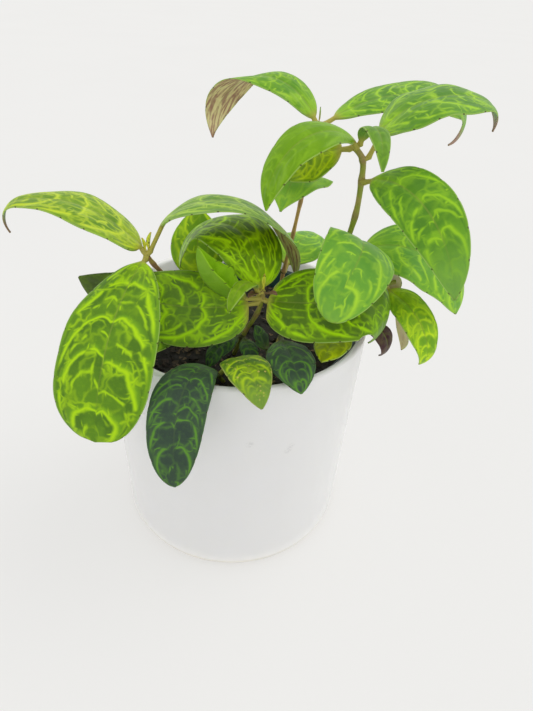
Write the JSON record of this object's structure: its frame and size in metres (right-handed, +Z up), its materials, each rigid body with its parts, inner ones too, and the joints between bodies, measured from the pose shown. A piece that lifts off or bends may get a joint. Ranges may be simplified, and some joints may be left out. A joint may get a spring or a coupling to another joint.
{
  "type": "potted lipstick plant",
  "caption": "Trailing house plant with arched marbled leaves on thin stems, growing in soil in a plain nursery pot inside a white glazed cylinder pot.",
  "frame": {"origin": "middle of the glazed pot's flat base, on the surface that it stands on", "axes": "+Z up along the pot's axis; -Y towards the front, where the long dark leaf hangs over the rim; +X to the right, where the tall stem stands"},
  "size_m": [0.1946, 0.1555, 0.2256],
  "materials": {
    "white_glaze": "gloss",
    "dark_plastic": "satin",
    "soil": "matte",
    "stem_green": "satin",
    "leaf_marbled": "satin",
    "leaf_dark": "satin",
    "leaf_young": "satin"
  },
  "bodies": {
    "root": {"glazed_pot": "white_glaze", "leaf_a_hanging": "leaf_marbled", "leaf_a_left": "leaf_marbled", "leaf_a_low": "leaf_marbled", "leaf_a_over": "leaf_marbled", "leaf_b_dome": "leaf_marbled", "leaf_b_level": "leaf_marbled", "leaf_b_low_front": "leaf_dark", "leaf_b_low_left": "leaf_dark", "leaf_b_newest": "leaf_young", "leaf_b_right": "leaf_marbled", "leaf_b_young": "leaf_young", "leaf_c_broad": "leaf_marbled", "leaf_c_front": "leaf_marbled", "leaf_c_low_right": "leaf_marbled", "leaf_c_pale": "leaf_marbled", "leaf_c_top_back": "leaf_marbled", "leaf_c_top_left": "leaf_young", "leaf_c_top_small": "leaf_young", "leaf_c_upper_right": "leaf_marbled", "leaf_d_curled": "leaf_marbled", "leaf_d_edge": "leaf_dark", "leaf_d_round": "leaf_marbled", "leaf_d_small": "leaf_marbled", "leaf_d_top_right": "leaf_marbled", "leaf_e_hanging": "leaf_marbled", "leaf_e_under": "leaf_marbled", "leaf_f_rim": "leaf_dark", "leaf_f_small": "leaf_marbled", "leaf_g_dark": "leaf_dark", "leaf_g_low": "leaf_dark", "leaf_h_hook": "leaf_dark", "leaf_h_rim": "leaf_marbled", "leaf_i_upright": "leaf_marbled", "nursery_pot": "dark_plastic", "soil": "soil", "stem_a": "stem_green", "stem_b": "stem_green", "stem_c": "stem_green", "stem_d": "stem_green", "stem_e": "stem_green", "stem_f": "stem_green", "stem_g": "stem_green", "stem_h": "stem_green", "stem_i": "stem_green"}
  },
  "joints": []
}
